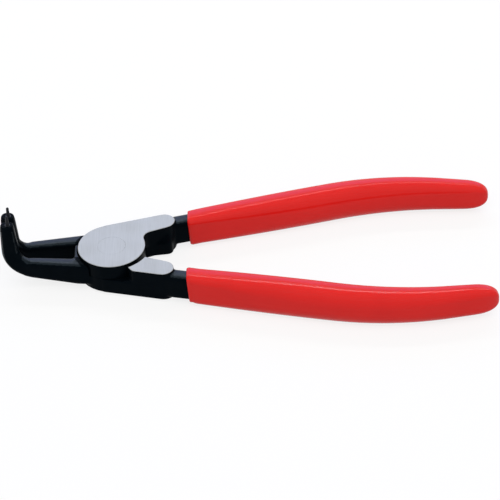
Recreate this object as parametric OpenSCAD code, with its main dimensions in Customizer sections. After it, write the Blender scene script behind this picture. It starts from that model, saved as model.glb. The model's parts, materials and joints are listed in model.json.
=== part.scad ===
// Circlip pliers for shafts, with tips bent square to the joint.
// Squeezing the handles spreads the tips; a spring in the joint opens the handles again.
// Lengths in mm. +X runs from the jaws to the handle ends, +Z the way the tips point.
// The origin is on the rivet axis, in the ground rear face of the joint.

/* [Joint] */
// diameter of the joint disc of each lever
joint_d = 23.2; // [22:0.2:24]
// thickness of the joint over its two ground faces
joint_t = 11.2; // [10.6:0.1:12]
// radial gap between a disc and the other lever on the jaw side
jaw_side_gap = 0.5; // [0.4:0.1:0.8]
// radial gap between a disc and the other lever on the handle side
handle_side_gap = 2; // [1:0.1:2.5]
// gap between the two lapped faces
lap_gap = 0.1; // [0.06:0.02:0.2]
// distance from the rivet axis to the outer edge of the tongue
tongue_offset = 11.8; // [11.4:0.1:12.2]
// angle of the outer edge of the tongue
tongue_angle = 14.4; // [13:0.2:16]
// distance from the rivet axis to the far end of the tongue, along X
tongue_reach = 21.5; // [20:0.1:23]
// radius of the rounded end of the tongue
tongue_end_r = 3.7; // [3.4:0.05:4]
// angle of the inner edge of the tongue
tongue_inner_angle = 20.5; // [18:0.5:23]
// radius of the corner between disc and tongue
tongue_fillet = 3.2; // [2:0.1:4]
// where the half beside the other disc starts, along the outer edge
lap_start = 10.7; // [9:0.1:12]
// angle of the front lever's heel, the wider half beside the other disc
heel_angle = 6; // [4:0.5:8]
// distance from the rivet axis to the inner edge of the heel
heel_offset = 6.1; // [5.8:0.1:6.5]
// distance from the rivet axis to the far end of the heel, along X
heel_reach = 20.4; // [20:0.1:21]
// radius of its corner
heel_r = 2; // [1.5:0.1:2.5]
// height of the web that closes the space between the jaws
web_h = 4.4; // [3.6:0.1:5]
// thickness of that web at its thinnest
web_t = 0.8; // [0.6:0.1:1.4]
// gap between that web and the other lever's jaw
web_gap = 0.9; // [0.6:0.1:1.2]

/* [Rivet] */
// diameter of the rivet shank
rivet_d = 7; // [6:0.2:7.6]
// diameter of its countersunk ends
rivet_head_d = 9.6; // [8.6:0.2:10.4]
// depth of the countersunk ends
rivet_head_t = 1.3; // [1:0.1:1.6]
// radial running clearance in the front lever
rivet_clearance = 0.05; // [0.02:0.01:0.08]

/* [Return spring] */
// wire diameter
spring_wire = 1; // [0.8:0.05:1.1]
// mean diameter of the coil
spring_d = 10.8; // [10.2:0.1:11.4]
// turns of the coil
spring_turns = 2.5; // [2.25:0.25:2.75]
// gap between two turns
turn_gap = 0.1; // [0.05:0.05:0.15]
// free space round the coil in its pocket
spring_space = 0.5; // [0.4:0.05:0.7]
// free space above and below the coil
spring_end_space = 0.25; // [0.15:0.05:0.4]
// radius of the bends to the two ends
spring_bend_r = 0.8; // [0.7:0.05:0.9]
// length of each bent end in its lever
spring_end = 1.6; // [1.2:0.1:1.8]
// free space round each bent end in its hole
spring_hole_space = 0.15; // [0.1:0.05:0.25]

/* [Jaws] */
// distance from the rivet axis to the middle of the legs, along X
leg_reach = 34.6; // [33:0.1:37]
// height of the leg ends above the middle plane of the joint
leg_rise = 18.3; // [16:0.1:22]
// gap between the two legs when the handles are open
leg_gap = 0.5; // [0.4:0.05:0.8]
// leg size along X and along Y just below its end
leg_tip_x = 5.1; // [4.6:0.1:5.6]
leg_tip_y = 4.5; // [4.2:0.1:4.8]
// leg thickness along X at the bend
leg_root_x = 6; // [5.7:0.1:6.4]
// chamfer round the end of each leg
leg_chamfer = 0.45; // [0.3:0.05:0.6]
// radius inside the bend
bend_r = 3.8; // [3:0.1:4.4]
// thickness of a jaw at the bend and at the joint
jaw_tip_t = 6.7; // [6.2:0.1:7]
jaw_root_t = 8.5; // [8:0.1:8.8]
// width of a jaw at the bend and at the joint
jaw_tip_w = 4; // [3.8:0.1:4.2]
jaw_root_w = 5; // [4.6:0.1:5.4]
// distance of a jaw's middle from the tool's middle, at the bend and at the joint
jaw_tip_y = 4.5; // [4.2:0.1:4.8]
jaw_root_y = 6.3; // [6.1:0.1:6.6]
// where a jaw leaves the joint, along X
jaw_root_x = 12; // [11:0.2:13]
// length of its foot inside the joint, and how far the foot spreads
jaw_foot = 6; // [4:0.5:7]
jaw_spread = 0.7; // [0.4:0.1:0.9]
// height of the jaw tops above the middle plane
jaw_top = 4.2; // [3.8:0.1:4.5]
// radius of the jaw edges and of the leg edges
jaw_edge_r = 1.3; // [0.9:0.1:1.6]
leg_edge_r = 1.9; // [1.6:0.1:2]

/* [Tips] */
// diameter of the free end of a tip pin
tip_d = 1.2; // [1:0.1:1.8]
// diameter of its root in the leg
tip_root_d = 2; // [1.9:0.1:2.2]
// length of its free end
tip_length = 3.5; // [3:0.1:5]
// depth of its root in the leg
tip_depth = 6; // [4:0.5:8]
// chamfer round its end
tip_chamfer = 0.25; // [0.1:0.05:0.4]

/* [Handles] */
// angle of the handles to the middle of the tool
handle_angle = 13.3; // [12.6:0.1:13.8]
// distance from the rivet axis to the middle line of the straight handle
handle_offset = 9.4; // [9.1:0.05:9.8]
// where the straight part of the handle ends, along X
bow_start = 76; // [72:0.5:79]
// radius of the inward bow
bow_r = 115; // [100:1:125]
// angle of the handle ends, inwards
bow_end_angle = 6; // [5:0.1:7]
// distance from the rivet axis to the handle ends, along X
handle_reach = 131.5; // [128:0.5:140]
// how far the handles lie behind the middle plane of the joint
handle_drop = 0.2; // [0:0.05:0.4]
// width and thickness of the bare handle
tang_w = 5.6; // [5.2:0.1:5.8]
tang_t = 9.4; // [8.6:0.1:9.6]
// radius of its edges
tang_edge_r = 0.8; // [0.6:0.1:1.4]
// its width at its root, and the length over which it widens
tang_root_w = 4.4; // [4:0.1:4.8]
tang_flare = 6; // [4:0.5:8]
// how far its root runs back into the tongue, along X
tang_root = 5.5; // [5:0.1:6]

/* [Grips] */
// where the grips start, along X
grip_start = 26.3; // [25:0.1:28]
// width and thickness of a grip at its front end
grip_w = 7.3; // [7:0.1:8.2]
grip_t = 11.4; // [11:0.1:12.4]
// how much wider and thicker a grip gets in the palm
grip_swell_w = 4.1; // [3:0.1:4.6]
grip_swell_t = 2.2; // [1.2:0.1:2.6]
// radius of its edges at its front end and in the palm
grip_edge_r = 2; // [1.4:0.1:2.4]
palm_edge_r = 4; // [3:0.1:4.4]
// how much narrower and thinner it gets towards its end
grip_taper = 1.6; // [1:0.1:2]
// length of the rounded end, and how full it is (2 is an ellipse)
grip_round = 9; // [7:0.5:10]
grip_fullness = 2.6; // [2:0.1:3]
// length of solid grip between the handle's end and the rounded end
grip_end = 3; // [2:0.5:5]
// length and depth of the small bevel round the front end
grip_bevel_x = 0.5; // [0.3:0.1:0.8]
grip_bevel = 0.3; // [0.2:0.1:0.5]

/* [Hidden] */

disc_r = joint_d / 2;
half_t = joint_t / 2;
leg_y = leg_gap / 2 + leg_tip_y / 2;
bend_x = -leg_reach + leg_root_x / 2 + bend_r;
bend_z = jaw_top + bend_r;
spring_z = spring_turns * (spring_wire + turn_gap) / 2;
pocket_h = spring_z + spring_wire / 2 + spring_end_space;
pocket_r = spring_d / 2 + spring_wire / 2 + spring_space;
web_x = disc_r + jaw_side_gap + web_t;
tang_x = tongue_reach - tang_root;
jaw_inside = jaw_root_y - jaw_root_w / 2;
black = [0.12, 0.13, 0.15];
steel = [0.75, 0.76, 0.78];
red = [0.8, 0.08, 0.08];

// points of a rectangle w by h with round corners, n steps a corner
function rounded(w, h, r, n) =
    let (m = [[1, 1], [-1, 1], [-1, -1], [1, -1]])
    [for (c = [0:3]) for (i = [0:n])
        let (a = 90 * (c + i / n))
        [m[c][0] * (w / 2 - r) + r * cos(a), m[c][1] * (h / 2 - r) + r * sin(a)]];

// that outline set at p, its width along a and its height along b
function ring(p, a, b, outline) = [for (q = outline) p + q[0] * a + q[1] * b];

// solid through a row of rings
module skin(rings) {
    n = len(rings[0]);
    m = len(rings);
    polyhedron(
        points = [for (r = rings) for (p = r) p],
        faces = concat(
            [[for (i = [0:n - 1]) n - 1 - i]],
            [for (k = [0:m - 2]) for (i = [0:n - 1])
                let (j = (i + 1) % n)
                [k * n + i, k * n + j, k * n + n + j]],
            [for (k = [0:m - 2]) for (i = [0:n - 1])
                let (j = (i + 1) % n)
                [k * n + i, k * n + n + j, k * n + n + i]],
            [[for (i = [0:n - 1]) (m - 1) * n + i]]));
}

// middle line of the front handle: straight, bowed, straight, by its length s
line_0 = [tang_x, handle_offset / cos(handle_angle) + tang_x * tan(handle_angle)];
line_len = (bow_start - tang_x) / cos(handle_angle);
line_1 = line_0 + line_len * [cos(handle_angle), sin(handle_angle)];
bow_len = bow_r * (handle_angle + bow_end_angle) * PI / 180;
bow_mid = line_1 + bow_r * [sin(handle_angle), -cos(handle_angle)];
line_2 = bow_mid + bow_r * [sin(bow_end_angle), cos(bow_end_angle)];
handle_len = line_len + bow_len + (handle_reach - line_2[0]) / cos(bow_end_angle);

function way(s) =
    s < line_len ? handle_angle
    : s < line_len + bow_len ? handle_angle - (s - line_len) / bow_r * 180 / PI
    : -bow_end_angle;
function at(s) =
    s < line_len ? line_0 + s * [cos(handle_angle), sin(handle_angle)]
    : s < line_len + bow_len ? bow_mid + bow_r * [-sin(way(s)), cos(way(s))]
    : line_2 + (s - line_len - bow_len) * [cos(bow_end_angle), -sin(bow_end_angle)];
function handle_ring(s, w, h, r, n) =
    ring([at(s)[0], at(s)[1], 0], [sin(way(s)), -cos(way(s)), 0], [0, 0, 1], rounded(w, h, r, n));

// bare handle inside the grip
module tang() {
    stops = [tang_flare, line_len, for (k = [1:4]) line_len + bow_len * k / 4,
             handle_len - grip_round - grip_end];
    skin(concat([handle_ring(0, tang_root_w, tang_t, tang_edge_r, 2)],
                [for (s = stops) handle_ring(s, tang_w, tang_t, tang_edge_r, 2)]));
}

// one grip, filled
module grip_body() {
    s0 = (grip_start - tang_x) / cos(handle_angle);
    run = handle_len - s0;
    straight = run - grip_round;
    stops = concat(
        [grip_bevel_x, for (k = [1:11]) straight * k / 11],
        [for (a = [18:18:72]) straight + grip_round * sin(a)],
        [run - 0.02]);
    palm = function (d) sin(180 * d / run);
    w = function (d) grip_w - grip_taper * d / run + grip_swell_w * palm(d);
    h = function (d) grip_t - grip_taper * d / run + grip_swell_t * palm(d);
    r = function (d) grip_edge_r + (palm_edge_r - grip_edge_r) * palm(d);
    k = function (d)
        d < straight ? 1 : pow(1 - pow((d - straight) / grip_round, grip_fullness), 1 / grip_fullness);
    rings = [for (d = stops) handle_ring(s0 + d, w(d) * k(d), h(d) * k(d), r(d) * k(d), 5)];
    front = handle_ring(s0, grip_w - 2 * grip_bevel, grip_t - 2 * grip_bevel,
                        grip_edge_r - grip_bevel, 5);
    // both handles are dipped at once, so their front ends lie square across the tool
    level = function (ring, x) [for (p = ring) p + (x - p[0]) * [1, tan(handle_angle), 0]];
    skin(concat([level(front, grip_start), level(rings[0], grip_start + grip_bevel_x)],
                [for (i = [1:len(rings) - 1]) rings[i]]));
}

// tongue that carries the handle: the ways of its two edges, the middle of its round end
inner_way = [cos(tongue_inner_angle), sin(tongue_inner_angle)];
inwards = [inner_way[1], -inner_way[0]];
outer_way = [cos(tongue_angle), sin(tongue_angle)];
outwards = [-outer_way[1], outer_way[0]];
tongue_x = tongue_reach - tongue_end_r;
tongue_end = [tongue_x, (tongue_offset - tongue_end_r) / cos(tongue_angle) + tongue_x * tan(tongue_angle)];
tongue_inner = tongue_end + tongue_end_r * inwards;
tongue_back = tongue_inner - (tongue_inner * inner_way) * inner_way;
tongue_foot = tongue_offset * outwards;

// its outline, from a point on its outer edge
module tongue_outline(from) {
    polygon([tongue_back, tongue_inner, tongue_end, tongue_end + tongue_end_r * outwards, from]);
    translate(tongue_end) circle(r = tongue_end_r, $fn = 48);
}

// round corner between the disc and the tongue
module tongue_corner() {
    deep = tongue_inner * inwards + tongue_fillet;
    corner = deep * inwards + sqrt(pow(disc_r + tongue_fillet, 2) - deep * deep) * inner_way;
    difference() {
        polygon([[0, 0], corner, corner - (tongue_fillet + tongue_end_r) * inwards]);
        translate(corner) circle(r = tongue_fillet, $fn = 48);
    }
}

// heel of the front lever, up to the line that touches its corner and the tongue's round end
module heel_outline() {
    n = [sin(heel_angle), -cos(heel_angle)];
    x = heel_reach - heel_r;
    corner = [x, (heel_offset + heel_r) / cos(heel_angle) + x * tan(heel_angle)];
    up = tongue_end - corner;
    lean = (heel_r - tongue_end_r) / (up * up);
    m = lean * up + sqrt(1 / (up * up) - lean * lean) * [up[1], -up[0]];
    polygon([-heel_offset * n, corner + heel_r * n, corner + heel_r * m, tongue_end + tongue_end_r * m,
             tongue_end]);
    translate(corner) circle(r = heel_r, $fn = 48);
}

// front lever's share of the joint, about the middle plane, with a heel or without
module joint_half(heel) {
    translate([0, 0, lap_gap / 2]) cylinder(d = joint_d, h = half_t - lap_gap / 2, $fn = 96);
    linear_extrude(half_t) {
        tongue_outline(tongue_foot);
        tongue_corner();
    }
    translate([0, 0, -half_t]) linear_extrude(half_t) {
        tongue_outline(tongue_foot + lap_start * outer_way);
        if (heel) heel_outline();
    }
    translate([-web_x, web_gap - jaw_inside, -web_h])
        cube([web_x, jaw_inside + jaw_root_y - web_gap, web_h - lap_gap / 2]);
}

// room for the other lever's disc
module disc_room() {
    deep = joint_t;
    translate([0, 0, lap_gap / 2 - deep]) cylinder(r = disc_r + jaw_side_gap, h = deep, $fn = 96);
    intersection() {
        translate([0, 0, lap_gap / 2 - deep]) cylinder(r = disc_r + handle_side_gap, h = deep, $fn = 96);
        translate([0, -2 * disc_r, -deep - 1]) cube([2 * disc_r, 4 * disc_r, 2 * deep]);
    }
}

// jaw of the front lever: arm, bend and upright leg
module jaw() {
    root = function (x, y)
        ring([x, y, jaw_top - jaw_root_t / 2], [0, 1, 0], [0, 0, 1],
             rounded(jaw_root_w, jaw_root_t, jaw_edge_r, 3));
    turn = function (a)
        let (u = a / 90, t = jaw_tip_t + (leg_root_x - jaw_tip_t) * u, r = bend_r + t / 2)
        ring([bend_x - r * sin(a), jaw_tip_y + (leg_y - jaw_tip_y) * u, bend_z - r * cos(a)],
             [0, 1, 0], [sin(a), 0, cos(a)],
             rounded(jaw_tip_w + (leg_tip_y - jaw_tip_w) * u, t,
                     jaw_edge_r + (leg_edge_r - jaw_edge_r) * u, 3));
    leg = function (z, c)
        ring([-leg_reach, leg_y, z], [0, 1, 0], [1, 0, 0],
             rounded(leg_tip_y - 2 * c, leg_tip_x - 2 * c, leg_edge_r - c, 3));
    skin(concat(
        [root(jaw_foot - jaw_root_x, jaw_root_y + jaw_spread), root(-jaw_root_x, jaw_root_y)],
        [for (a = [0:15:90]) turn(a)],
        [leg(leg_rise - leg_chamfer, 0), leg(leg_rise, leg_chamfer)]));
}

// rivet with both ends countersunk, grown by g all round
module rivet_body(g) {
    cylinder(d = rivet_d + 2 * g, h = joint_t, center = true, $fn = 64);
    for (s = [0, 180])
        rotate([s, 0, 0])
            translate([0, 0, half_t - rivet_head_t])
                cylinder(d1 = rivet_d + 2 * g, d2 = rivet_head_d + 2 * g, h = rivet_head_t, $fn = 64);
}

// pocket for the coil, with the hole for its bent end
module spring_room(a) {
    cylinder(r = pocket_r, h = 2 * pocket_h, center = true, $fn = 64);
    rotate([0, 0, a]) translate([spring_d / 2, 0, 0])
        cylinder(d = spring_wire + 2 * spring_hole_space,
                 h = pocket_h + spring_end + 2 * spring_hole_space, $fn = 24);
}

// hole for a tip pin in the leg on side y
module tip_hole(y) {
    translate([-leg_reach, y, leg_rise - tip_depth]) cylinder(d = tip_root_d, h = tip_depth + 1, $fn = 32);
}

module tip_pin(y) {
    c = tip_chamfer;
    translate([-leg_reach, y, leg_rise]) {
        translate([0, 0, -tip_depth]) cylinder(d = tip_root_d, h = tip_depth, $fn = 32);
        cylinder(d = tip_d, h = tip_length - c, $fn = 32);
        translate([0, 0, tip_length - c]) cylinder(d1 = tip_d, d2 = tip_d - 2 * c, h = c, $fn = 32);
    }
}

// the middle plane sits half the joint's thickness above the origin
module lift() {
    translate([0, 0, half_t]) children();
}

// handles lie a little behind the middle plane, each turned over on the other
module behind(turn) {
    translate([0, 0, -handle_drop]) rotate([turn, 0, 0]) children();
}

module front_lever() {
    color(black) lift() difference() {
        union() {
            joint_half(true);
            behind(0) tang();
            jaw();
        }
        disc_room();
        rivet_body(rivet_clearance);
        spring_room(360 * spring_turns);
        tip_hole(leg_y);
    }
}

module back_lever() {
    color(black) lift() difference() {
        union() {
            rotate([180, 0, 0]) joint_half(false);
            behind(180) tang();
            mirror([0, 1, 0]) jaw();
        }
        rotate([180, 0, 0]) disc_room();
        rivet_body(0);
        rotate([180, 0, 0]) spring_room(0);
        tip_hole(-leg_y);
    }
}

module joint_rivet() {
    color(steel) lift() rivet_body(0);
}

// torsion spring: a coil with both ends bent along the axis
module return_spring() {
    r = spring_d / 2;
    b = spring_bend_r;
    turn = 360 * spring_turns;
    lead = b / r * 180 / PI;
    coil = function (f, z, tilt)
        ring([r * cos(f), r * sin(f), z], [cos(f), sin(f), 0],
             [sin(f) * sin(tilt), -cos(f) * sin(tilt), cos(tilt)],
             [for (i = [0:7]) spring_wire / 2 * [cos(45 * i), sin(45 * i)]]);
    low = [coil(0, -pocket_h - spring_end, 90),
           for (a = [90:-22.5:0]) coil(lead * (1 - sin(a)), -spring_z - b * (1 - cos(a)), a)];
    mid = [for (f = [lead + 15:15:turn - lead - 15]) coil(f, spring_z * (2 * f / turn - 1), 0)];
    high = [for (a = [0:22.5:90]) coil(turn - lead * (1 - sin(a)), spring_z + b * (1 - cos(a)), a),
            coil(turn, pocket_h + spring_end, 90)];
    color(steel) lift() skin(concat(low, mid, high));
}

module front_tip() {
    color(black) lift() tip_pin(leg_y);
}

module back_tip() {
    color(black) lift() tip_pin(-leg_y);
}

module front_grip() {
    color(red) lift() behind(0) difference() {
        grip_body();
        tang();
    }
}

module back_grip() {
    color(red) lift() behind(180) difference() {
        grip_body();
        tang();
    }
}

back_lever();
front_lever();
joint_rivet();
return_spring();
back_tip();
front_tip();
back_grip();
front_grip();
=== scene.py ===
import json
import math

import bmesh
import bpy
from mathutils import Matrix, Vector

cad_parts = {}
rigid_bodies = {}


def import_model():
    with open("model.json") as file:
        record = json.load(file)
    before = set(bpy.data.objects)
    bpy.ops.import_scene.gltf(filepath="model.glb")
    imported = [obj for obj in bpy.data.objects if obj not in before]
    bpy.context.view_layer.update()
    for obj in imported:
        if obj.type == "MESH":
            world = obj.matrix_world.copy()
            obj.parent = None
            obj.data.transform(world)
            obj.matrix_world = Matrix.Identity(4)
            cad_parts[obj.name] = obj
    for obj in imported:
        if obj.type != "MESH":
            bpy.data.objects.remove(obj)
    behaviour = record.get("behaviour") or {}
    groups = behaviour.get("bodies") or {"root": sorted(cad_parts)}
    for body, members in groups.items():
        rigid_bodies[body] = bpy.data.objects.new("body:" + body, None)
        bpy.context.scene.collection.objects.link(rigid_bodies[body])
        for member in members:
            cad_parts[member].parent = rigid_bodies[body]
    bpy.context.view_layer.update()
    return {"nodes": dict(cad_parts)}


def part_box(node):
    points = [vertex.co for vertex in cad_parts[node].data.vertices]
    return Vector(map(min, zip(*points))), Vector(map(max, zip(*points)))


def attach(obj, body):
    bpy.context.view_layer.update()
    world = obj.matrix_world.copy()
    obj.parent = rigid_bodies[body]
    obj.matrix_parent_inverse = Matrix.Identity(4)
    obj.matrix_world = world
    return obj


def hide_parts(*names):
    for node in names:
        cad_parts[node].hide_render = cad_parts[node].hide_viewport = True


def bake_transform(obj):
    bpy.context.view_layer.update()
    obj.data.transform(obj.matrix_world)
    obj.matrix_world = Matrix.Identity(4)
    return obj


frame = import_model()


# Levers: two drop-forged steel halves, alike at the joint and the handle, one turned over on the other.
# Each runs from an upright jaw leg through half of the lap joint into a flat tang inside its grip.
# They are blackened all over, then the joint faces are ground bright and the joint is bored.

# all pieces are drawn in millimetres about the joint's middle plane and brought to metres when done
JOINT_T = 11.2
HALF_T = JOINT_T / 2
DISC_R = 11.6
GRIND_STOCK = 1.2
# what lies closer than this counts as there, and a normal with this share along an axis as square
NEAR = 0.01
SQUARE = 0.99
SLAB_END_STEPS = 10


def heading(degrees):
    """The direction in plan at an angle from X."""
    return Vector((math.cos(math.radians(degrees)), math.sin(math.radians(degrees))))


def alone(piece):
    """Makes a piece the only one selected."""
    bpy.ops.object.select_all(action="DESELECT")
    piece.select_set(True)
    bpy.context.view_layer.objects.active = piece


def leave():
    """Goes back from edit mode to object mode."""
    bpy.ops.object.mode_set(mode="OBJECT")


def pick_points(piece, test):
    """Selects the points of a piece in edit mode that lie where the test says."""
    bpy.ops.mesh.select_mode(type="VERT")
    bpy.ops.mesh.select_all(action="DESELECT")
    mesh = bmesh.from_edit_mesh(piece.data)
    for point in mesh.verts:
        point.select_set(test(point.co))
    mesh.select_flush(True)
    bmesh.update_edit_mesh(piece.data)


def pull(step):
    """Extrudes the selected end of a piece by a step."""
    bpy.ops.mesh.extrude_region_move(TRANSFORM_OT_translate={"value": step})


def slab(name, corners, low, high, end_radius=0):
    """Lays a plane, moves its corners to their places, rounds the middle two and pulls it up."""
    bpy.ops.object.select_all(action="DESELECT")
    bpy.ops.mesh.primitive_plane_add(size=2)
    piece = bpy.context.object
    piece.name = name
    bpy.ops.object.mode_set(mode="EDIT")
    for start, corner in zip(((-1, -1), (1, -1), (1, 1), (-1, 1)), corners):
        start = Vector((*start, 0))
        pick_points(piece, lambda co: (co - start).length < NEAR)
        bpy.ops.transform.translate(value=Vector((corner.x, corner.y, low)) - start)
    if end_radius:
        ends = [Vector((c.x, c.y, low)) for c in corners[1:3]]
        pick_points(piece, lambda co: min((co - end).length for end in ends) < NEAR)
        bpy.ops.mesh.bevel(offset=end_radius, segments=SLAB_END_STEPS, affect="VERTICES")
    bpy.ops.mesh.select_all(action="SELECT")
    pull((0, 0, high - low))
    leave()
    return piece


def drum(name, radius, low, high, vertices, x=0, y=0):
    """A round bar along Z, for a disc of a forging or for a cutter."""
    bpy.ops.object.select_all(action="DESELECT")
    bpy.ops.mesh.primitive_cylinder_add(vertices=vertices, radius=radius, depth=high - low)
    piece = bpy.context.object
    piece.name = name
    bpy.ops.object.mode_set(mode="EDIT")
    bpy.ops.transform.translate(value=(x, y, (low + high) / 2))
    leave()
    return piece


def work(piece, kind, **settings):
    """Adds a modifier, sets it and applies it."""
    alone(piece)
    step = piece.modifiers.new(kind.lower(), kind)
    for key, value in settings.items():
        setattr(step, key, value)
    bpy.ops.object.modifier_apply(modifier=step.name)


def cut(piece, cutter):
    """Takes a cutter's shape out of a piece."""
    work(piece, "BOOLEAN", operation="DIFFERENCE", object=cutter, solver="EXACT")
    bpy.data.objects.remove(cutter)


# the tongue carries the handle; its two edges spread a little towards its round end
TONGUE_OUTER_ANGLE = 14.4
TONGUE_INNER_ANGLE = 20.5
TONGUE_OFFSET = 11.8
TONGUE_REACH = 21.5
TONGUE_END_R = 3.7
TONGUE_ROUND = 0.98 * TONGUE_END_R
TONGUE_FILLET = 3.2
TONGUE_OVERLAP = 0.3
LAP_START = 10.7
GUSSET_LOW = -0.4
FILLET_HALF_T = 9.0
outer_way = heading(TONGUE_OUTER_ANGLE)
inner_way = heading(TONGUE_INNER_ANGLE)
outwards = Vector((-outer_way.y, outer_way.x))
inwards = Vector((inner_way.y, -inner_way.x))
tongue_x = TONGUE_REACH - TONGUE_END_R
tongue_end = Vector((tongue_x, (TONGUE_OFFSET - TONGUE_END_R + tongue_x * outer_way.y) / outer_way.x))
tongue_inner = tongue_end + TONGUE_END_R * inwards
tongue_root = tongue_inner - tongue_inner.dot(inner_way) * inner_way
tongue_foot = TONGUE_OFFSET * outwards
tongue_ends = [tongue_inner + TONGUE_END_R * inner_way,
               tongue_end + TONGUE_END_R * (outwards + outer_way)]
top = HALF_T + GRIND_STOCK
tongue_front = slab("tongue_front", [tongue_root, *tongue_ends, tongue_foot],
                    -TONGUE_OVERLAP, top, TONGUE_ROUND)
tongue_back = slab("tongue_back", [tongue_root, *tongue_ends, tongue_foot + LAP_START * outer_way],
                   -top, TONGUE_OVERLAP, TONGUE_ROUND)
deep = tongue_inner.dot(inwards) + TONGUE_FILLET
fillet = deep * inwards + math.sqrt((DISC_R + TONGUE_FILLET) ** 2 - deep ** 2) * inner_way
in_tongue = fillet - (TONGUE_FILLET + TONGUE_END_R) * inwards
gusset = slab("gusset", [Vector((0, 0)), fillet, in_tongue, in_tongue / 2], GUSSET_LOW, top)
cut(gusset, drum("fillet", TONGUE_FILLET, -FILLET_HALF_T, FILLET_HALF_T, vertices=64,
                 x=fillet.x, y=fillet.y))


def edit(piece):
    """Opens a piece in edit mode with all of it selected."""
    alone(piece)
    bpy.ops.object.mode_set(mode="EDIT")
    bpy.ops.mesh.select_all(action="SELECT")


def pick_faces(piece, test):
    """Selects the faces of a piece in edit mode by their middle and their normal."""
    bpy.ops.mesh.select_mode(type="FACE")
    bpy.ops.mesh.select_all(action="DESELECT")
    mesh = bmesh.from_edit_mesh(piece.data)
    for face in mesh.faces:
        face.select_set(test(face.calc_center_median(), face.normal))
    bmesh.update_edit_mesh(piece.data)


# the front lever alone has a heel: its lower half is wider and runs up into the tongue's inner side
HEEL_ANGLE = 6.0
HEEL_OFFSET = 6.1
HEEL_REACH = 20.8
HEEL_R = 2.0
HEEL_TOP = -1.0
HEEL_LEAN = (-0.2, 1.8, 5.0)
HEEL_AHEAD = 0.7 * TONGUE_END_R
HEEL_BEHIND = 1.6 * TONGUE_END_R
heel_way = heading(HEEL_ANGLE)
heel_foot = HEEL_OFFSET * Vector((-heel_way.y, heel_way.x))
heel_corner = heel_foot + (HEEL_REACH - heel_foot.x) / heel_way.x * heel_way
heel_plan = [heel_corner - DISC_R * heel_way,
             heel_corner,
             tongue_end + Vector((HEEL_AHEAD, 0)),
             tongue_end - HEEL_BEHIND * inner_way]
heel = slab("heel", heel_plan, -top, HEEL_TOP, HEEL_R)
edit(heel)
pick_faces(heel, lambda co, normal: normal.z > SQUARE)
pull(HEEL_LEAN)
leave()

# middle line of the tang and its grip: straight, bowed, straight
HANDLE_ANGLE = 13.3
HANDLE_OFFSET = 9.4
HANDLE_DROP = 0.2
HANDLE_FROM = 16.0
HANDLE_REACH = 131.5
BOW_START = 76.0
BOW_R = 115.0
BOW_END_ANGLE = 6.0
BOW_STEPS = 12
lean = math.radians(HANDLE_ANGLE)
tuck = math.radians(BOW_END_ANGLE)
handle_foot = Vector((HANDLE_FROM, HANDLE_OFFSET / math.cos(lean) + HANDLE_FROM * math.tan(lean), 0))
straight_run = (BOW_START - HANDLE_FROM) / math.cos(lean)
bow_run = BOW_R * (lean + tuck)
end_run = (HANDLE_REACH - BOW_START - BOW_R * (math.sin(lean) + math.sin(tuck))) / math.cos(tuck)
handle_run = straight_run + bow_run + end_run


def turn(degrees, axis, centre):
    """Turns what is selected about an axis through a point, by the right-hand rule."""
    bpy.ops.transform.rotate(value=-math.radians(degrees), orient_axis=axis, center_override=centre)


def resize(factors, centre):
    """Scales what is selected about a point."""
    bpy.ops.transform.resize(value=factors, center_override=centre)


def section(name, centre, width, height, corner, steps=4):
    """Stands a plane across X at a point, sizes it and rounds its corners; stays in edit mode."""
    bpy.ops.object.select_all(action="DESELECT")
    bpy.ops.mesh.primitive_plane_add(size=1)
    piece = bpy.context.object
    piece.name = name
    bpy.ops.object.mode_set(mode="EDIT")
    turn(90, "Y", (0, 0, 0))
    resize((1, width, height), (0, 0, 0))
    bpy.ops.transform.translate(value=centre)
    bpy.ops.mesh.bevel(offset=corner, segments=steps, affect="VERTICES")
    bpy.ops.mesh.select_all(action="SELECT")
    return piece


def lay_along_handle(piece):
    """Bends a straight piece in edit mode to the handle's middle line, from its far end back."""
    for step in reversed(range(BOW_STEPS)):
        x = straight_run + bow_run * (step + 0.5) / BOW_STEPS
        pick_points(piece, lambda co: co.x > x)
        turn(-math.degrees(lean + tuck) / BOW_STEPS, "Z", (x, 0, 0))
    bpy.ops.mesh.select_all(action="SELECT")
    turn(HANDLE_ANGLE, "Z", (0, 0, 0))
    bpy.ops.transform.translate(value=handle_foot)


def copied(name, piece):
    """A copy of a piece with its own mesh."""
    alone(piece)
    bpy.ops.object.duplicate(linked=False)
    bpy.context.object.name = name
    return bpy.context.object


def turned_over(name, piece):
    """A copy turned over about X, for the other lever."""
    other = copied(name, piece)
    edit(other)
    turn(180, "X", (0, 0, 0))
    leave()
    return other


def shift(piece, step):
    """Moves the whole mesh of a piece by a step."""
    edit(piece)
    bpy.ops.transform.translate(value=step)
    leave()


# the tang is narrow at the tongue, flares to its full width and ends just before the grip's round end
TANG_W = 5.6
TANG_T = 9.4
TANG_EDGE_R = 1.3
TANG_ROOT_W = 4.4
TANG_FLARE = 6.0
TANG_END_GAP = 3.0
GRIP_ROUND = 9.0
tang = section("tang", (0, 0, 0), TANG_ROOT_W, TANG_T, TANG_EDGE_R)
pull((TANG_FLARE, 0, 0))
resize((1, TANG_W / TANG_ROOT_W, 1), (TANG_FLARE, 0, 0))
pull((straight_run - TANG_FLARE, 0, 0))
for step in range(BOW_STEPS):
    pull((bow_run / BOW_STEPS, 0, 0))
pull((end_run - GRIP_ROUND - TANG_END_GAP, 0, 0))
lay_along_handle(tang)
leave()
back_tang = turned_over("back_tang", tang)
shift(tang, (0, 0, -HANDLE_DROP))
shift(back_tang, (0, 0, -HANDLE_DROP))


def joined(name, pieces):
    """Joins pieces into the first of them."""
    bpy.ops.object.select_all(action="DESELECT")
    for piece in pieces:
        piece.select_set(True)
    bpy.context.view_layer.objects.active = pieces[0]
    bpy.ops.object.join()
    pieces[0].name = name
    return pieces[0]


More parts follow.
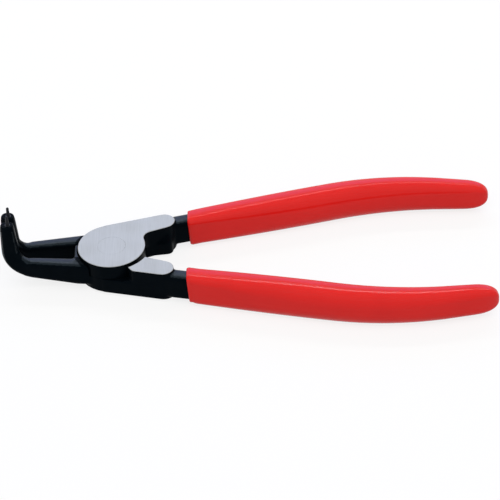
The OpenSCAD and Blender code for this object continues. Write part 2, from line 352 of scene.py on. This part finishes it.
# the web closes the space between the jaws, right behind the other lever's disc
WEB_H = 4.4
WEB_T = 0.8
WEB_GAP = 0.9
WEB_PLAY = 0.25
WEB_ROOT_X = 4.0
JAW_SIDE_GAP = 0.5
JAW_ROOT_Y = 6.3
JAW_ROOT_W = 5.0
DISC_LOW = -1.0
jaw_inside = JAW_ROOT_Y - JAW_ROOT_W / 2
web_x = DISC_R + JAW_SIDE_GAP + WEB_T
web_low = WEB_GAP - jaw_inside
web_plan = [Vector((-web_x, web_low)),
            Vector((-WEB_ROOT_X, web_low)),
            Vector((-WEB_ROOT_X, JAW_ROOT_Y)),
            Vector((-web_x, JAW_ROOT_Y))]
web = slab("web", web_plan, -WEB_H, -WEB_PLAY)
disc = drum("disc", DISC_R, DISC_LOW, top, vertices=160)
front_blank = joined("front_blank", [disc, tongue_front, tongue_back, gusset, web])
back_blank = turned_over("back_blank", front_blank)

# jaw: a tapered arm, a bend and an upright leg, drawn out of the same bar
JAW_TOP = 4.2
JAW_ROOT_T = 8.5
JAW_ROOT_X = 12.0
JAW_FOOT = 6.0
JAW_SPREAD = 0.7
JAW_TIP_T = 6.7
JAW_TIP_W = 4.0
JAW_TIP_Y = 4.5
JAW_EDGE_R = 1.3
ARM_STUB = 2.5
ARM_STUB_SHARE = 0.8
BEND_R = 3.8
BEND_STEPS = 9
LEG_REACH = 34.6
LEG_RISE = 18.3
LEG_ROOT_X = 6.0
LEG_TIP_X = 4.7
LEG_TIP_Y = 4.5
LEG_TIP_BACK = 0.35
LEG_GAP = 0.5
LEG_EDGE_R = 1.9
leg_y = (LEG_GAP + LEG_TIP_Y) / 2
bend_x = BEND_R + LEG_ROOT_X / 2 - LEG_REACH
bend_z = JAW_TOP + BEND_R
foot = Vector((JAW_FOOT - JAW_ROOT_X, JAW_ROOT_Y + JAW_SPREAD, JAW_TOP - JAW_ROOT_T / 2))
root = Vector((-JAW_ROOT_X, JAW_ROOT_Y, foot.z))
arm_end = Vector((bend_x, JAW_TIP_Y, JAW_TOP - JAW_TIP_T / 2))
arm = section("arm", foot, JAW_ROOT_W, JAW_ROOT_T, JAW_EDGE_R)
pull(root - foot)
pull(arm_end - root)
resize((1, JAW_TIP_W / JAW_ROOT_W, JAW_TIP_T / JAW_ROOT_T), arm_end)
pull((-ARM_STUB, 0, 0))
resize((1, ARM_STUB_SHARE, ARM_STUB_SHARE), arm_end)
leave()
leg = section("leg", arm_end, JAW_TIP_W, JAW_TIP_T, LEG_EDGE_R, steps=6)
wide, thick, y = JAW_TIP_W, JAW_TIP_T, JAW_TIP_Y
for step in range(1, BEND_STEPS + 1):
    share = step / BEND_STEPS
    angle = math.radians(90 * share)
    pull((0, JAW_TIP_Y + (leg_y - JAW_TIP_Y) * share - y, 0))
    turn(90 / BEND_STEPS, "Y", (bend_x, y, bend_z))
    y = JAW_TIP_Y + (leg_y - JAW_TIP_Y) * share
    wider = JAW_TIP_W + (LEG_TIP_Y - JAW_TIP_W) * share
    thinner = JAW_TIP_T + (LEG_ROOT_X - JAW_TIP_T) * share
    bend_inside = (bend_x - BEND_R * math.sin(angle), y, bend_z - BEND_R * math.cos(angle))
    resize((thinner / thick, wider / wide, thinner / thick), bend_inside)
    wide, thick = wider, thinner
pull((0, 0, LEG_RISE + GRIND_STOCK - bend_z))
resize((LEG_TIP_X / LEG_ROOT_X, 1, 1), (-LEG_REACH, leg_y, LEG_RISE))
bpy.ops.transform.translate(value=(-LEG_TIP_BACK, 0, 0))
leave()

# the other jaw is a mirror image; the remesh in forge gives both a new skin that faces outwards
front_jaw = joined("front_jaw", [arm, leg])
back_jaw = copied("back_jaw", front_jaw)
edit(back_jaw)
resize((1, -1, 1), (0, 0, 0))
leave()
front_lever = joined("front_lever_forging", [front_blank, heel, tang, front_jaw])
back_lever = joined("back_lever_forging", [back_blank, back_tang, back_jaw])


def new_finish(name):
    """A new material with its node tree, its shader and the piece's own coordinates."""
    finish = bpy.data.materials.new(name)
    finish.use_nodes = True
    tree = finish.node_tree
    place = tree.nodes.new("ShaderNodeTexCoord").outputs["Object"]
    return finish, tree, tree.nodes["Principled BSDF"], place


def grain(tree, place, scale, detail=4, stretch=(1, 1, 1), turned=0):
    """Noise of a scale per metre, stretched along an axis; gives its value output."""
    spread = tree.nodes.new("ShaderNodeMapping")
    spread.inputs["Scale"].default_value = stretch
    spread.inputs["Rotation"].default_value = (0, 0, math.radians(turned))
    noise = tree.nodes.new("ShaderNodeTexNoise")
    noise.inputs["Scale"].default_value = scale
    noise.inputs["Detail"].default_value = detail
    tree.links.new(place, spread.inputs["Vector"])
    tree.links.new(spread.outputs["Vector"], noise.inputs["Vector"])
    return noise.outputs["Fac"]


def between(tree, value, low, high, start=0.3, end=0.7):
    """Spreads a noise value over a range."""
    spread = tree.nodes.new("ShaderNodeMapRange")
    spread.inputs["From Min"].default_value = start
    spread.inputs["From Max"].default_value = end
    spread.inputs["To Min"].default_value = low
    spread.inputs["To Max"].default_value = high
    tree.links.new(value, spread.inputs["Value"])
    return spread.outputs["Result"]


def shades(tree, value, dark, light, start=0.3, end=0.7):
    """Runs a noise value from one colour to another."""
    ramp = tree.nodes.new("ShaderNodeValToRGB")
    ramp.color_ramp.elements[0].position = start
    ramp.color_ramp.elements[0].color = (*dark, 1)
    ramp.color_ramp.elements[1].position = end
    ramp.color_ramp.elements[1].color = (*light, 1)
    tree.links.new(value, ramp.inputs["Fac"])
    return ramp.outputs["Color"]


def roughen(tree, height, distance, strength, under=None):
    """Bump from a height value, over another bump if one is given."""
    bump = tree.nodes.new("ShaderNodeBump")
    bump.inputs["Distance"].default_value = distance
    bump.inputs["Strength"].default_value = strength
    tree.links.new(height, bump.inputs["Height"])
    if under:
        tree.links.new(under, bump.inputs["Normal"])
    return bump.outputs["Normal"]


OXIDE_DARK = (0.0008, 0.0020, 0.0034)
OXIDE_LIGHT = (0.0016, 0.0032, 0.0050)
OXIDE_SHEEN = (0.66, 0.86, 1.0, 1)


def blackened(name, gloss):
    """Oxide-black steel with a drawn grain; the gloss is its specular level."""
    finish, tree, shader, place = new_finish(name)
    cloud = grain(tree, place, scale=260)
    skin = grain(tree, place, scale=2200, detail=6)
    drawn = grain(tree, place, scale=700, stretch=(0.12, 1, 1))
    tree.links.new(shades(tree, cloud, OXIDE_DARK, OXIDE_LIGHT), shader.inputs["Base Color"])
    tree.links.new(between(tree, drawn, low=0.26, high=0.36), shader.inputs["Roughness"])
    shader.inputs["Specular IOR Level"].default_value = gloss
    shader.inputs["Specular Tint"].default_value = OXIDE_SHEEN
    drawn_lines = roughen(tree, drawn, distance=0.00004, strength=0.12)
    rough_skin = roughen(tree, skin, distance=0.00001, strength=0.12, under=drawn_lines)
    tree.links.new(rough_skin, shader.inputs["Normal"])
    return finish


black_forging = blackened("black_forging", gloss=0.02)
# a glossier copy of the black finish, put on upward faces and leg corners as painted sheen
sheen_painted_forging = blackened("sheen_painted_forging", gloss=0.24)

GROUND_DARK = (0.385, 0.402, 0.408)
GROUND_LIGHT = (0.435, 0.454, 0.46)
ground_steel, tree, shader, place = new_finish("ground_steel")
lines = grain(tree, place, scale=5200, detail=3, stretch=(1, 0.02, 1), turned=8)
patches = grain(tree, place, scale=120, detail=3)
tree.links.new(shades(tree, lines, GROUND_DARK, GROUND_LIGHT), shader.inputs["Base Color"])
tree.links.new(between(tree, patches, low=0.5, high=0.6), shader.inputs["Roughness"])
shader.inputs["Metallic"].default_value = 0.4
tree.links.new(roughen(tree, lines, distance=0.00001, strength=0.25), shader.inputs["Normal"])

# places of painted sheen are told by where a face lies and by the share of its normal along an axis
NECK_FROM = TONGUE_REACH - 2
NECK_FLAT = 0.85
JAW_FLAT = 0.7
JAW_TOP_FROM = 2.0
JAW_TOP_TO = HALF_T + 6
# the jaw tops stay dull this far round the disc, as painted shade
PAINTED_SHADE_RING = 1.8
LEG_EDGE_FROM = 0.55
LEG_EDGE_TO = 0.85
LEG_UPRIGHT = 0.3
BLACK, GROUND, PAINTED_SHEEN = range(3)
FORGING_GRAIN = 0.34


def finish_picked(piece, finish):
    """Gives the selected faces one of the piece's finishes."""
    piece.active_material_index = finish
    bpy.ops.object.material_slot_assign()


def on_neck(co, normal):
    """The upper and lower side of the handle, from the tongue's end on, which take painted sheen."""
    return co.x > NECK_FROM and abs(normal.z) > NECK_FLAT


def on_jaw_top(co, normal):
    """The tops of the jaw and the web, which take painted sheen, apart from a ring round the disc kept
    dull as painted shade.
    """
    clear_of_disc = co.xy.length > DISC_R + PAINTED_SHADE_RING or abs(co.y) < jaw_inside
    return clear_of_disc and co.x < 0 and JAW_TOP_FROM < co.z < JAW_TOP_TO and normal.z > JAW_FLAT


def on_leg_edge(co, normal):
    """The soft upright corners of the leg, which take painted highlights."""
    on_leg = co.x < -JAW_ROOT_X and co.z > JAW_TOP
    return on_leg and LEG_EDGE_FROM < abs(normal.x) < LEG_EDGE_TO and abs(normal.z) < LEG_UPRIGHT


def forge(piece):
    """Fuses the parts of a forging into one soft skin; neck, jaw tops and leg edges get painted sheen."""
    work(piece, "REMESH", mode="VOXEL", voxel_size=FORGING_GRAIN)
    work(piece, "SMOOTH", factor=0.5, iterations=12)
    piece.data.materials.clear()
    for finish in (black_forging, ground_steel, sheen_painted_forging):
        piece.data.materials.append(finish)
    edit(piece)
    for sheen_place in (on_neck, on_jaw_top, on_leg_edge):
        pick_faces(piece, sheen_place)
        finish_picked(piece, PAINTED_SHEEN)
    leave()


GRIND_CHAMFER = 0.15
GRIND_REACH = JAW_ROOT_X + 2


def grind(piece, side):
    """Grinds the joint flat on one side, leaving a bright face with a fine edge."""
    level = side * HALF_T
    edge = side * (HALF_T - GRIND_CHAMFER)
    edit(piece)
    pick_faces(piece, lambda co, normal: co.x > -GRIND_REACH and co.z * side > 0)
    bpy.ops.mesh.bisect(plane_co=(0, 0, edge), plane_no=(0, 0, side), use_fill=True, clear_outer=True)
    pick_faces(piece, lambda co, normal: abs(co.z - edge) < NEAR and abs(normal.z) > SQUARE)
    bpy.ops.mesh.inset(thickness=GRIND_CHAMFER)
    bpy.ops.transform.translate(value=(0, 0, level - edge))
    bpy.ops.mesh.select_more()
    finish_picked(piece, GROUND)
    leave()


LEG_FROM = 20.0
LEG_NECK_Z = 1.1
LEG_NECK = 0.92
LEG_NECK_ROUND = 0.7
LEG_RIM_R = 0.6
LEG_RIM_STEPS = 4


def trim_leg(piece, side):
    """Cuts the leg off, draws its end in to a round neck and rolls the rim over in small steps."""
    centre = Vector((-LEG_REACH - LEG_TIP_BACK, side * leg_y, LEG_RISE))
    level = LEG_RISE - LEG_RIM_R - LEG_NECK_Z
    edit(piece)
    pick_faces(piece, lambda co, normal: co.x < -LEG_FROM and co.z > HALF_T)
    bpy.ops.mesh.bisect(plane_co=(0, 0, level), plane_no=(0, 0, 1), use_fill=True, clear_outer=True)
    pick_faces(piece, lambda co, normal: abs(co.z - level) < NEAR and normal.z > SQUARE)
    pull((0, 0, LEG_NECK_Z))
    resize((LEG_NECK, LEG_NECK, 1), centre)
    bpy.ops.transform.tosphere(value=LEG_NECK_ROUND)
    wide, high = LEG_TIP_Y * LEG_NECK / 2, 0
    for step in range(1, LEG_RIM_STEPS + 1):
        roll = math.radians(90 * step / LEG_RIM_STEPS)
        narrower = LEG_TIP_Y * LEG_NECK / 2 - LEG_RIM_R * (1 - math.cos(roll))
        pull((0, 0, LEG_RIM_R * math.sin(roll) - high))
        resize((narrower / wide, narrower / wide, 1), centre)
        wide, high = narrower, LEG_RIM_R * math.sin(roll)
    pick_faces(piece, lambda co, normal: co.z > level + NEAR)
    finish_picked(piece, BLACK)
    leave()


RIVET_D = 7.0
RIVET_HEAD_D = 9.6
RIVET_HEAD_T = 1.3


def rivet_shape(name, grown, past):
    """A rivet with both ends countersunk, grown all round and drawn out past the joint faces."""
    piece = drum(name, RIVET_D / 2 + grown, RIVET_HEAD_T - HALF_T, HALF_T - RIVET_HEAD_T, vertices=72)
    edit(piece)
    for side in (1, -1):
        pick_faces(piece, lambda co, normal: normal.z * side > SQUARE)
        pull((0, 0, side * RIVET_HEAD_T))
        wide = (RIVET_HEAD_D + 2 * grown) / (RIVET_D + 2 * grown)
        resize((wide, wide, 1), (0, 0, side * HALF_T))
        if past:
            pull((0, 0, side * past))
    leave()
    return piece


# what is cut out of the forgings: room for the other lever, the rivet, the spring and the tips
LAP_GAP = 0.1
HANDLE_SIDE_GAP = 2.0
HEEL_SIDE_GAP = 0.9
RIVET_CLEARANCE = 0.05
BORE_PAST = 1.0
POCKET_R = 6.4
POCKET_H = 2.125
SPRING_R = 5.4
SPRING_HOLE_R = 0.65
SPRING_HOLE_END = 4.0
TIP_ROOT_D = 2.0
TIP_DEPTH = 6.0
TIP_HOLE_PAST = 2.0
for piece, side, play, gap in ((front_lever, 1, RIVET_CLEARANCE, HEEL_SIDE_GAP),
                               (back_lever, -1, 0, HANDLE_SIDE_GAP)):
    forge(piece)
    grind(piece, 1)
    grind(piece, -1)
    trim_leg(piece, side)
    lap = sorted((side * LAP_GAP / 2, -side * JOINT_T))
    cut(piece, drum("disc_room", DISC_R + JAW_SIDE_GAP, *lap, vertices=128))
    handle_room = drum("handle_room", DISC_R + gap, *lap, vertices=128)
    edit(handle_room)
    bpy.ops.mesh.bisect(plane_co=(NEAR, 0, 0), plane_no=(1, 0, 0), use_fill=True, clear_inner=True)
    leave()
    cut(piece, handle_room)
    cut(piece, rivet_shape("bore", grown=play, past=BORE_PAST))
    cut(piece, drum("spring_pocket", POCKET_R, -POCKET_H, POCKET_H, vertices=64))
    hole = sorted((0, side * SPRING_HOLE_END))
    cut(piece, drum("spring_hole", SPRING_HOLE_R, *hole, vertices=24, x=-side * SPRING_R))
    cut(piece, drum("tip_hole", TIP_ROOT_D / 2, LEG_RISE - TIP_DEPTH, LEG_RISE + TIP_HOLE_PAST,
                    vertices=40, x=-LEG_REACH, y=side * leg_y))

MM = 0.001


def bring_to_frame(piece, body, node, smooth=30):
    """Brings a piece drawn about the middle plane to metres in the part's frame, and onto its body."""
    alone(piece)
    piece.scale = (MM, MM, MM)
    piece.location = (0, 0, HALF_T * MM)
    bpy.ops.object.transform_apply(location=True, rotation=True, scale=True)
    bpy.ops.object.shade_smooth_by_angle(angle=math.radians(smooth))
    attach(piece, body)
    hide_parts(node)


bring_to_frame(front_lever, "front_half", "front_lever")
bring_to_frame(back_lever, "back_half", "back_lever")


# Tips: two hardened steel pins, blackened, pressed into the ends of the legs.
# Each is turned down from a thick root to a fine free end, which goes into an eye of the circlip.
TIP_D = 1.2
TIP_LENGTH = 3.5
TIP_CHAMFER = 0.25
TIP_TAPER = 0.8
TIP_EDGE = 0.06
TIP_EDGE_ANGLE = 25
TIP_DARK = (0.004, 0.005, 0.007)
TIP_LIGHT = (0.014, 0.016, 0.02)
tip_steel, tree, shader, place = new_finish("tip_steel")
wear = grain(tree, place, scale=1800)
turned = grain(tree, place, scale=900, stretch=(1, 1, 6))
tree.links.new(shades(tree, wear, TIP_DARK, TIP_LIGHT), shader.inputs["Base Color"])
tree.links.new(between(tree, turned, low=0.25, high=0.42), shader.inputs["Roughness"])
shader.inputs["Specular IOR Level"].default_value = 0.15
tree.links.new(roughen(tree, turned, distance=0.00001, strength=0.3), shader.inputs["Normal"])

front_tip = drum("front_tip_pin", TIP_ROOT_D / 2, LEG_RISE - TIP_DEPTH, LEG_RISE,
                 vertices=40, x=-LEG_REACH, y=leg_y)
edit(front_tip)
pick_faces(front_tip, lambda co, normal: normal.z > SQUARE)
bpy.ops.mesh.inset(thickness=(TIP_ROOT_D - TIP_D) / 2)
pull((0, 0, TIP_LENGTH - TIP_CHAMFER))
resize((TIP_TAPER, TIP_TAPER, 1), (-LEG_REACH, leg_y, LEG_RISE))
pull((0, 0, TIP_CHAMFER))
chamfered = 1 - 2 * TIP_CHAMFER / TIP_D
resize((chamfered, chamfered, 1), (-LEG_REACH, leg_y, LEG_RISE + TIP_LENGTH))
leave()
work(front_tip, "BEVEL", width=TIP_EDGE, segments=2, limit_method="ANGLE",
     angle_limit=math.radians(TIP_EDGE_ANGLE))
front_tip.data.materials.append(tip_steel)
back_tip = copied("back_tip_pin", front_tip)
shift(back_tip, (0, -2 * leg_y, 0))
bring_to_frame(front_tip, "front_half", "front_tip", smooth=40)
bring_to_frame(back_tip, "back_half", "back_tip", smooth=40)


# Return spring: a coil wound of bright spring wire, in the pocket between the two joint halves.
# One bent end sits in a hole of each lever, so it winds up with them and pushes the handles apart.
SPRING_WELD = 0.000001
SPRING_DARK = (0.38, 0.38, 0.40)
SPRING_LIGHT = (0.5, 0.5, 0.52)
spring_steel, tree, shader, place = new_finish("spring_steel")
drawn = grain(tree, place, scale=3000)
tree.links.new(shades(tree, drawn, SPRING_DARK, SPRING_LIGHT), shader.inputs["Base Color"])
tree.links.new(between(tree, drawn, low=0.28, high=0.4), shader.inputs["Roughness"])
shader.inputs["Metallic"].default_value = 1

scene = bpy.context.scene
return_spring = bpy.data.objects.new("return_spring_coil", frame["nodes"]["return_spring"].data.copy())
scene.collection.objects.link(return_spring)
edit(return_spring)
bpy.ops.mesh.remove_doubles(threshold=SPRING_WELD)
leave()
work(return_spring, "SUBSURF", levels=1, render_levels=1)
bpy.ops.object.shade_smooth()
return_spring.data.materials.clear()
return_spring.data.materials.append(spring_steel)
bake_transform(return_spring)
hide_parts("return_spring")


# Joint rivet: a soft steel pin through both levers, upset into two countersinks.
# It is ground off flush with the joint, so only a hairline ring shows on the bright faces.
RIVET_PRESS = 0.02
joint_rivet = rivet_shape("joint_rivet_flush", grown=RIVET_PRESS, past=0)
joint_rivet.data.materials.append(ground_steel)
bring_to_frame(joint_rivet, "back_half", "joint_rivet")


# Grips: thick red plastic sleeves, dipped on the tangs, with a small lip in front and a round end.
# They swell and get rounder towards the palm.
GRIP_START = 26.3
GRIP_W = 7.3
GRIP_T = 11.4
GRIP_SWELL_W = 4.1
GRIP_SWELL_T = 2.2
GRIP_EDGE_R = 2.0
GRIP_EDGE_STEPS = 7
PALM_EDGE_R = 4.0
GRIP_CROWN = 1.35
GRIP_TAPER = 1.6
GRIP_FULLNESS = 2.6
GRIP_LIP_X = 1.0
GRIP_LIP = 0.35
GRIP_LIP_STEPS = 5
GRIP_RINGS = 40
GRIP_END_STEP = 6
GRIP_END_SHORT = 0.01
ON_RING = 0.001
DIP_TILT = 3.3
DIP_PAST = 0.05
RED_DARK = (0.78, 0.0140, 0.0115)
RED_LIGHT = (0.82, 0.0165, 0.0135)
grip_from = (GRIP_START - HANDLE_FROM) / math.cos(lean)
grip_run = handle_run - grip_from
grip_straight = grip_run - GRIP_ROUND


def grip_size(along):
    """Width, height and edge radii across and upright, at a distance from the grip's front end."""
    palm = math.sin(math.pi * along / grip_run)
    lip = 0.0
    if along < GRIP_LIP_X:
        lip = GRIP_LIP * (1 - math.sqrt(1 - (1 - along / GRIP_LIP_X) ** 2))
    end = 1.0
    if along > grip_straight:
        end = (1 - ((along - grip_straight) / GRIP_ROUND) ** GRIP_FULLNESS) ** (1 / GRIP_FULLNESS)
    wide = GRIP_W - GRIP_TAPER * along / grip_run + GRIP_SWELL_W * palm - 2 * lip
    high = GRIP_T - GRIP_TAPER * along / grip_run + GRIP_SWELL_T * palm - 2 * lip
    edge = GRIP_EDGE_R + (PALM_EDGE_R - GRIP_EDGE_R) * palm - lip
    return Vector((0, wide, high)) * end, Vector((0, edge, edge * (1 + (GRIP_CROWN - 1) * palm))) * end


red_grip, tree, shader, place = new_finish("red_grip_plastic")
cloud = grain(tree, place, scale=90)
peel = grain(tree, place, scale=1500, detail=3)
tree.links.new(shades(tree, cloud, RED_DARK, RED_LIGHT), shader.inputs["Base Color"])
tree.links.new(between(tree, cloud, low=0.12, high=0.16), shader.inputs["Roughness"])
shader.inputs["Specular IOR Level"].default_value = 0.18
tree.links.new(roughen(tree, peel, distance=0.00001, strength=0.03), shader.inputs["Normal"])

size, edge = grip_size(0)
front_grip = section("front_grip_sleeve", (grip_from, 0, 0), size.y, size.z, edge.y, GRIP_EDGE_STEPS)
stops = [GRIP_LIP_X * k / GRIP_LIP_STEPS for k in range(1, GRIP_LIP_STEPS + 1)]
stops += [GRIP_LIP_X + (grip_straight - GRIP_LIP_X) * k / GRIP_RINGS for k in range(1, GRIP_RINGS + 1)]
stops += [grip_straight + GRIP_ROUND * math.sin(math.radians(angle))
          for angle in range(GRIP_END_STEP, 90, GRIP_END_STEP)]
stops += [grip_run - GRIP_END_SHORT]
done = 0
for stop in stops:
    x = grip_from + stop
    new_size, new_edge = grip_size(stop)
    pull((stop - done, 0, 0))
    for y, z in ((1, 1), (-1, 1), (-1, -1), (1, -1)):
        old = Vector((0, y * (size.y / 2 - edge.y), z * (size.z / 2 - edge.z)))
        new = Vector((0, y * (new_size.y / 2 - new_edge.y), z * (new_size.z / 2 - new_edge.z)))
        pick_points(front_grip, lambda co: abs(co.x - x) < ON_RING and co.y * y > 0 and co.z * z > 0)
        bpy.ops.transform.translate(value=new - old)
        resize((1, new_edge.y / edge.y, new_edge.z / edge.z), (x, new.y, new.z))
    pick_points(front_grip, lambda co: abs(co.x - x) < ON_RING)
    size, edge, done = new_size, new_edge, stop
# both handles are dipped at once, so the front ends lie square across the tool
pick_points(front_grip, lambda co: co.x < grip_from + GRIP_LIP_X + NEAR)
resize((1, 1 / math.cos(lean), 1), (grip_from, 0, 0))
turn(-HANDLE_ANGLE, "Z", (grip_from, 0, 0))
lay_along_handle(front_grip)
bpy.ops.mesh.normals_make_consistent(inside=False)
leave()
front_grip.data.materials.append(red_grip)
back_grip = turned_over("back_grip_sleeve", front_grip)
for piece in (front_grip, back_grip):
    edit(piece)
    pick_points(piece, lambda co: co.x < GRIP_START + GRIP_LIP_X + DIP_PAST)
    turn(-DIP_TILT, "Y", (GRIP_START, 0, 0))
    leave()
    shift(piece, (0, 0, -HANDLE_DROP))
bring_to_frame(front_grip, "front_half", "front_grip", smooth=50)
bring_to_frame(back_grip, "back_half", "back_grip", smooth=50)


# Stage: a wide sheet of matt white board that the tool lies on, level with the underside of the grips.
# It shows white to the camera and in gloss, and keeps the soft shadow of the tool.
FLOOR_SIZE = 6
FLOOR_GLOW = 0.8
FLOOR_GREY = (0.6, 0.6, 0.6)
WHITE = (1, 1, 1)
floor_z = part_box("back_grip")[0].z
bpy.ops.object.select_all(action="DESELECT")
bpy.ops.mesh.primitive_plane_add(size=FLOOR_SIZE, location=(0, 0, floor_z))
floor = bpy.context.object
floor.name = "floor"


def seen(tree):
    """1 for rays from the camera and for those by gloss or through glass."""
    path = tree.nodes.new("ShaderNodeLightPath")
    total = path.outputs["Is Camera Ray"]
    for ray in ("Is Glossy Ray", "Is Transmission Ray"):
        larger = tree.nodes.new("ShaderNodeMath")
        larger.operation = "MAXIMUM"
        tree.links.new(total, larger.inputs[0])
        tree.links.new(path.outputs[ray], larger.inputs[1])
        total = larger.outputs[0]
    return total


floor_white = bpy.data.materials.new("floor_white")
floor_white.use_nodes = True
tree = floor_white.node_tree
tree.nodes.remove(tree.nodes["Principled BSDF"])
paint = tree.nodes.new("ShaderNodeBsdfDiffuse")
looked_at = seen(tree)
tree.links.new(shades(tree, looked_at, FLOOR_GREY, WHITE, start=0, end=1), paint.inputs["Color"])
glow = tree.nodes.new("ShaderNodeEmission")
glow.inputs["Color"].default_value = (*WHITE, 1)
share = tree.nodes.new("ShaderNodeMath")
share.operation = "MULTIPLY"
share.inputs[1].default_value = FLOOR_GLOW
tree.links.new(looked_at, share.inputs[0])
mixed = tree.nodes.new("ShaderNodeMixShader")
tree.links.new(share.outputs[0], mixed.inputs["Fac"])
tree.links.new(paint.outputs[0], mixed.inputs[1])
tree.links.new(glow.outputs[0], mixed.inputs[2])
tree.links.new(mixed.outputs[0], tree.nodes["Material Output"].inputs["Surface"])
floor.data.materials.append(floor_white)


# Light: an even white room and three softboxes, all turned towards the middle of the tool.
# The large one hangs above and in front and stays out of the gloss.
# Behind the tool stand a dim blue one, which cools the black tops, and a narrow white one.
ROOM_LIGHT = 0.44
LAMP_AIM = (0.048, 0, 0.006)
world = bpy.data.worlds.new("studio")
scene.world = world
world.use_nodes = True
tree = world.node_tree
room = tree.nodes["Background"]
room.inputs["Color"].default_value = (*WHITE, 1)
tree.links.new(between(tree, seen(tree), low=ROOM_LIGHT, high=1, start=0, end=1), room.inputs["Strength"])


def softbox(name, place, width, height, power, colour):
    """An area lamp at a place, turned towards the tool."""
    bpy.ops.object.select_all(action="DESELECT")
    bpy.ops.object.light_add(type="AREA", location=place)
    lamp = bpy.context.object
    lamp.name = name
    lamp.data.shape = "RECTANGLE"
    lamp.data.size = width
    lamp.data.size_y = height
    lamp.data.energy = power
    lamp.data.color = colour
    lamp.rotation_euler = (Vector(LAMP_AIM) - Vector(place)).to_track_quat("-Z", "Y").to_euler()
    return lamp


top_softbox = softbox("top_softbox", place=(0.22, -0.63, 1.36), width=2.4, height=1.8,
                      power=15.6, colour=(1.0, 0.99, 0.98))
top_softbox.visible_glossy = False
softbox("back_softbox", place=(0.05, 0.78, 0.45), width=1.2, height=0.28,
        power=2.0, colour=(0.3, 0.4, 1.0))
softbox("strip_softbox", place=(0.05, 0.6, 0.67), width=1.2, height=0.05,
        power=1.9, colour=(0.95, 0.97, 1.0))


# Camera: the photograph's view through a long lens, from in front and above, rolled a little.
# It was fitted to the joint disc, the ends of the grips and the legs.
VIEW_TURN = 1.72
VIEW_RISE = 38.46
VIEW_ROLL = -3.18
VIEW_AWAY = 1.042
VIEW_AIM = Vector((0.0476, 0, 0.00708))
VIEW_LENS = 217.6
VIEW_SENSOR = 36
VIEW_FAR = 20
bpy.ops.object.camera_add()
camera = bpy.context.object
camera.data.sensor_width = VIEW_SENSOR
camera.data.lens = VIEW_LENS
camera.data.clip_end = VIEW_FAR
facing = (Matrix.Rotation(math.radians(VIEW_TURN), 4, "Z")
          @ Matrix.Rotation(math.radians(90 - VIEW_RISE), 4, "X")
          @ Matrix.Rotation(math.radians(VIEW_ROLL), 4, "Z"))
camera.matrix_world = Matrix.Translation(VIEW_AIM + facing.col[2].to_3d() * VIEW_AWAY) @ facing
scene.camera = camera
scene.view_settings.view_transform = "Standard"
